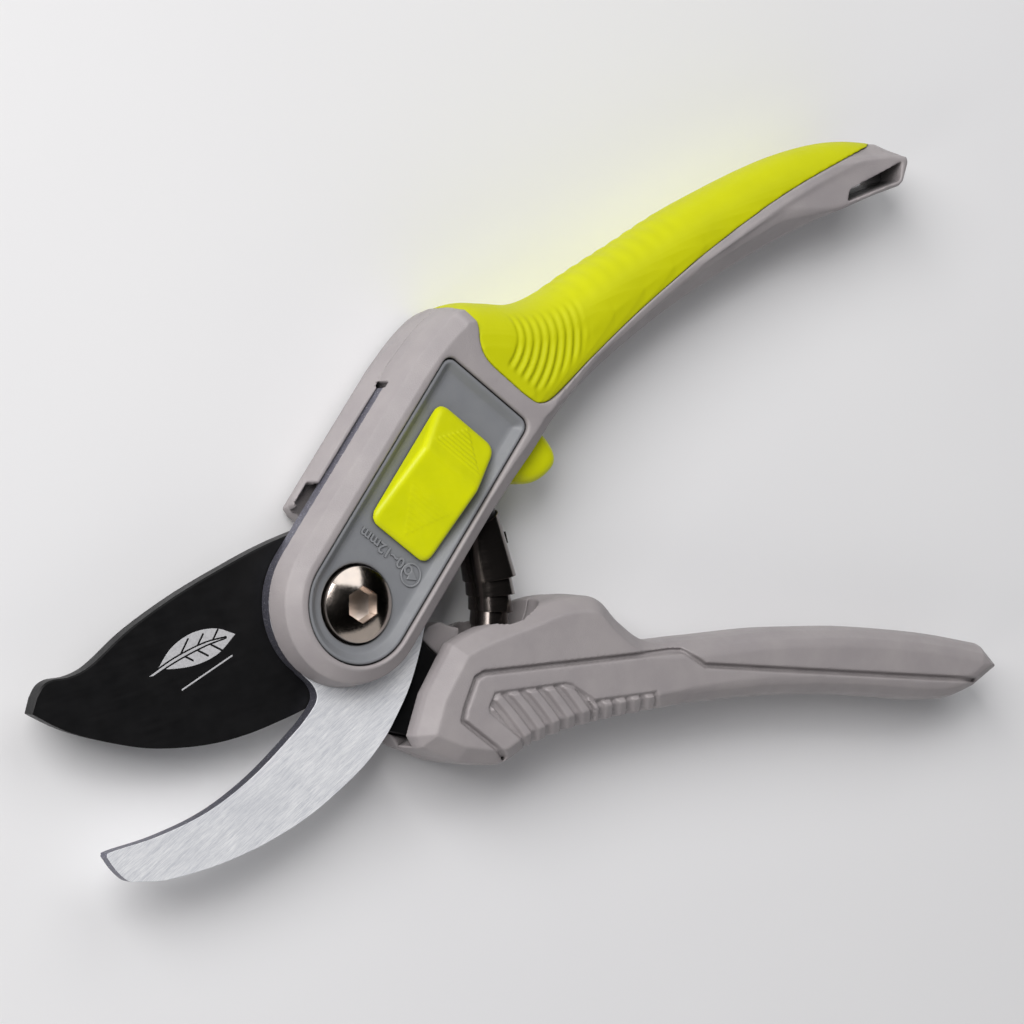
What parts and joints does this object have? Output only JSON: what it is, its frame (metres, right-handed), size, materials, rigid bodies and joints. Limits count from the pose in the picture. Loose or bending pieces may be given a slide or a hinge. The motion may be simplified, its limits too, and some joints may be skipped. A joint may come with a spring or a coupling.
{
  "type": "pruning shears",
  "caption": "Bypass pruning shears with curved cutting and hook blades, sprung handles, an opening-size slider, a thumb lock and a hanging slot.",
  "frame": {"origin": "on the pivot axis, at the flat outer end of the pivot nut", "axes": "+Z through the thickness, towards the selector slider; +X from the pivot towards the handle ends, halfway between the open handles; +Y towards the upper handle"},
  "size_m": [0.2042, 0.1099, 0.0214],
  "materials": {
    "grey_plastic": "fine matte moulded, warm light grey",
    "panel_plastic": "smooth satin, blue-grey",
    "lime_rubber": "matt soft grip, yellow-green",
    "lime_plastic": "satin, yellow-green",
    "coated_blade": "black non-stick coating, satin",
    "bare_steel": "ground, fine slanted scratches",
    "polished_nickel": "polished, warm",
    "fastener_steel": "zinc plated",
    "spring_steel": "black, glossy",
    "black_plastic": "plain black"
  },
  "bodies": {
    "upper_handle": {"front_shell": "grey_plastic", "rear_shell": "grey_plastic", "grip_pad": "lime_rubber", "selector_panel": "panel_plastic", "detent_spring": "fastener_steel", "hook_blade": "bare_steel", "hook_rivet_1": "fastener_steel", "hook_rivet_2": "fastener_steel", "pivot_bolt": "polished_nickel", "pivot_nut": "polished_nickel", "pivot_bush": "fastener_steel", "rear_washer": "fastener_steel", "front_washer": "fastener_steel", "upper_screw_1": "fastener_steel", "upper_screw_2": "fastener_steel", "upper_screw_3": "fastener_steel", "spring_seat_upper": "black_plastic", "spring_turn_1": "spring_steel"},
    "lower_handle": {"cutting_blade": "coated_blade", "blade_rivet_1": "fastener_steel", "blade_rivet_2": "fastener_steel", "lower_front_shell": "grey_plastic", "lower_rear_shell": "grey_plastic", "lower_screw_1": "fastener_steel", "lower_screw_2": "fastener_steel", "lower_screw_3": "fastener_steel", "spring_seat_lower": "black_plastic", "spring_turn_6": "spring_steel"},
    "selector": {"selector_slider": "lime_plastic", "selector_stop": "fastener_steel"},
    "lock": {"lock_button": "lime_plastic"},
    "spring_2": {"spring_turn_2": "spring_steel"},
    "spring_3": {"spring_turn_3": "spring_steel"},
    "spring_4": {"spring_turn_4": "spring_steel"},
    "spring_5": {"spring_turn_5": "spring_steel"}
  },
  "joints": [
    {"name": "pivot", "type": "hinge", "parent": "upper_handle", "child": "lower_handle", "pos_m": [0, 0, 0.0095], "axis": [0, 0, 1], "range_deg": [-13, 26], "stiffness_Nm_per_rad": 0.9},
    {"name": "selector_slide", "type": "slide", "parent": "upper_handle", "child": "selector", "axis": [-0.766, -0.6428, 0], "range_m": [0, 0.0055]},
    {"name": "lock_slide", "type": "slide", "parent": "upper_handle", "child": "lock", "axis": [0.8572, 0.515, 0], "range_m": [0, 0.004]},
    {"name": "spring_2_swing", "type": "hinge", "parent": "upper_handle", "child": "spring_2", "pos_m": [0, 0, 0.0095], "axis": [0, 0, 1], "range_deg": [-2.8, 5.4]},
    {"name": "spring_3_swing", "type": "hinge", "parent": "upper_handle", "child": "spring_3", "pos_m": [0, 0, 0.0095], "axis": [0, 0, 1], "range_deg": [-5.4, 10.6]},
    {"name": "spring_4_swing", "type": "hinge", "parent": "upper_handle", "child": "spring_4", "pos_m": [0, 0, 0.0095], "axis": [0, 0, 1], "range_deg": [-8, 15.8]},
    {"name": "spring_5_swing", "type": "hinge", "parent": "upper_handle", "child": "spring_5", "pos_m": [0, 0, 0.0095], "axis": [0, 0, 1], "range_deg": [-10.6, 21]}
  ],
  "couplings": [
    {"joint": "spring_2_swing", "follows": "pivot", "ratio": 0.2},
    {"joint": "spring_3_swing", "follows": "pivot", "ratio": 0.4},
    {"joint": "spring_4_swing", "follows": "pivot", "ratio": 0.6},
    {"joint": "spring_5_swing", "follows": "pivot", "ratio": 0.8}
  ]
}
